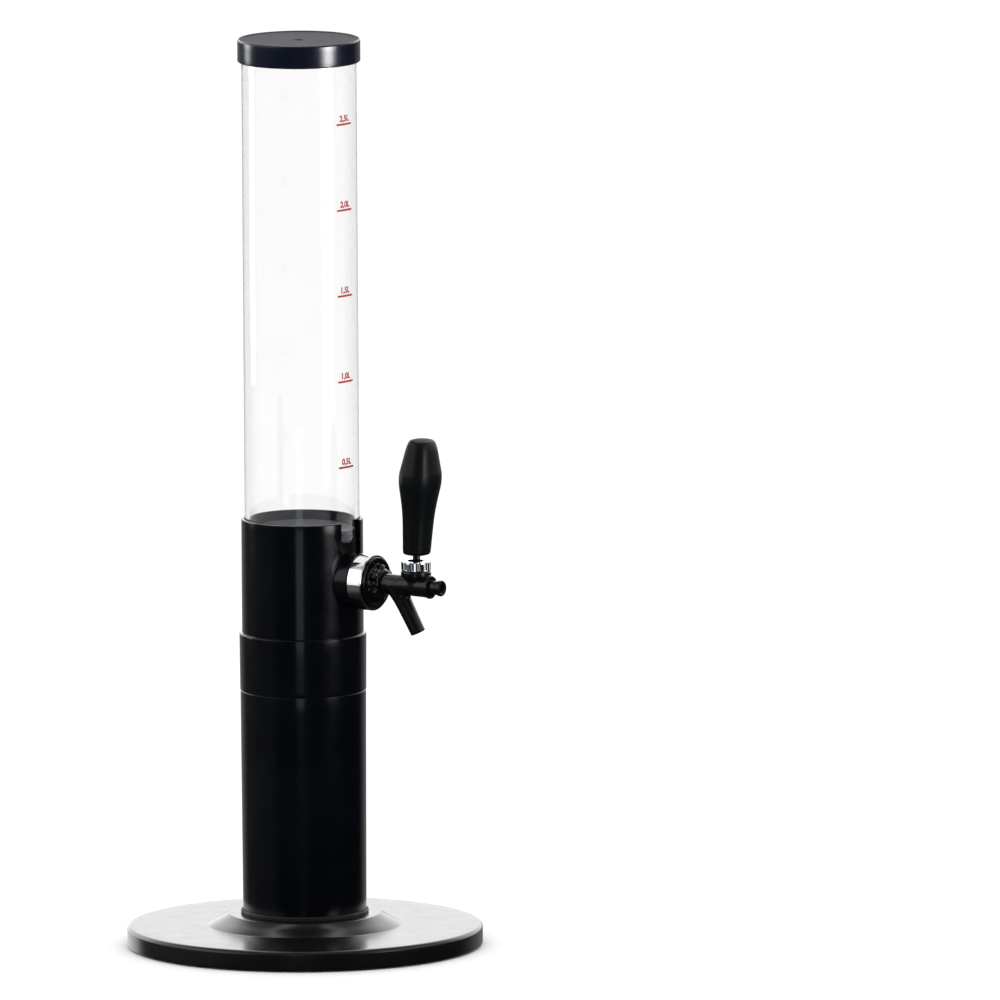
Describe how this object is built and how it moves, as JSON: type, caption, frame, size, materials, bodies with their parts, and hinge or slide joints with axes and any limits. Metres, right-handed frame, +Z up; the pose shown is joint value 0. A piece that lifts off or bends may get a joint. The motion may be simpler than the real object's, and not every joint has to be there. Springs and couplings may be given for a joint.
{
  "type": "beer tower dispenser",
  "caption": "Table beer tower: weighted round base, black column and housing, clear tank with graduated scale and lift-off lid, and a lever tap with a sloping spout.",
  "frame": {"origin": "centre of the base's underside, on the table", "axes": "+Z up along the column, -Y the way the tap points, +X to the right of someone facing the tap from behind it"},
  "size_m": [0.31, 0.31, 0.797],
  "materials": {
    "gloss_black": "high gloss",
    "satin_black": "satin",
    "tap_black": "gloss",
    "lid_plastic": "gloss",
    "clear_tube": "clear, polished",
    "red_print": "printed",
    "chrome": "mirror",
    "steel": "zinc plated",
    "cast_weight": "raw",
    "brass": "turned",
    "rubber": "matte",
    "white_plastic": "plain"
  },
  "bodies": {
    "stand": {"foot_pads": "rubber", "base_cover": "satin_black", "base_screws": "steel", "ballast_plate": "cast_weight", "base_shell": "gloss_black", "column_socket": "satin_black", "foot_ring": "rubber", "column": "gloss_black", "tie_rod": "steel", "tie_nuts": "steel", "tie_washers": "steel", "collar": "gloss_black", "housing": "gloss_black"},
    "tank": {"tank_cup": "satin_black", "tank_plug": "satin_black", "drain_sump": "satin_black", "tube_seal": "rubber", "tank_tube": "clear_tube", "scale_marks": "red_print", "saddle": "satin_black", "escutcheon": "chrome", "shank": "chrome", "shank_nut": "steel", "shank_washer": "rubber", "port_seal": "rubber", "coupling_ring": "tap_black", "tap_body": "tap_black", "rod_seal": "rubber", "end_cap": "tap_black", "end_seal": "rubber", "bonnet": "chrome", "ball_ring": "white_plastic"},
    "lid": {"lid": "lid_plastic"},
    "handle": {"lever": "tap_black", "handle_grip": "tap_black", "handle_insert": "brass"},
    "valve": {"valve_rod": "steel", "valve_seal": "rubber"}
  },
  "joints": [
    {"name": "tank_lift", "type": "slide", "parent": "stand", "child": "tank", "axis": [0, 0, 1], "range_m": [0, 0.12]},
    {"name": "lid_lift", "type": "slide", "parent": "tank", "child": "lid", "axis": [0, 0, 1], "range_m": [0, 0.06]},
    {"name": "handle_tilt", "type": "hinge", "parent": "tank", "child": "handle", "pos_m": [0, -0.118, 0.3405], "axis": [1, 0, 0], "range_deg": [0, 30]},
    {"name": "valve_slide", "type": "slide", "parent": "tank", "child": "valve", "axis": [0, 1, 0], "range_m": [0, 0.0085]}
  ],
  "couplings": [
    {"joint": "valve_slide", "follows": "handle_tilt", "m_per_rad": 0.01547}
  ]
}
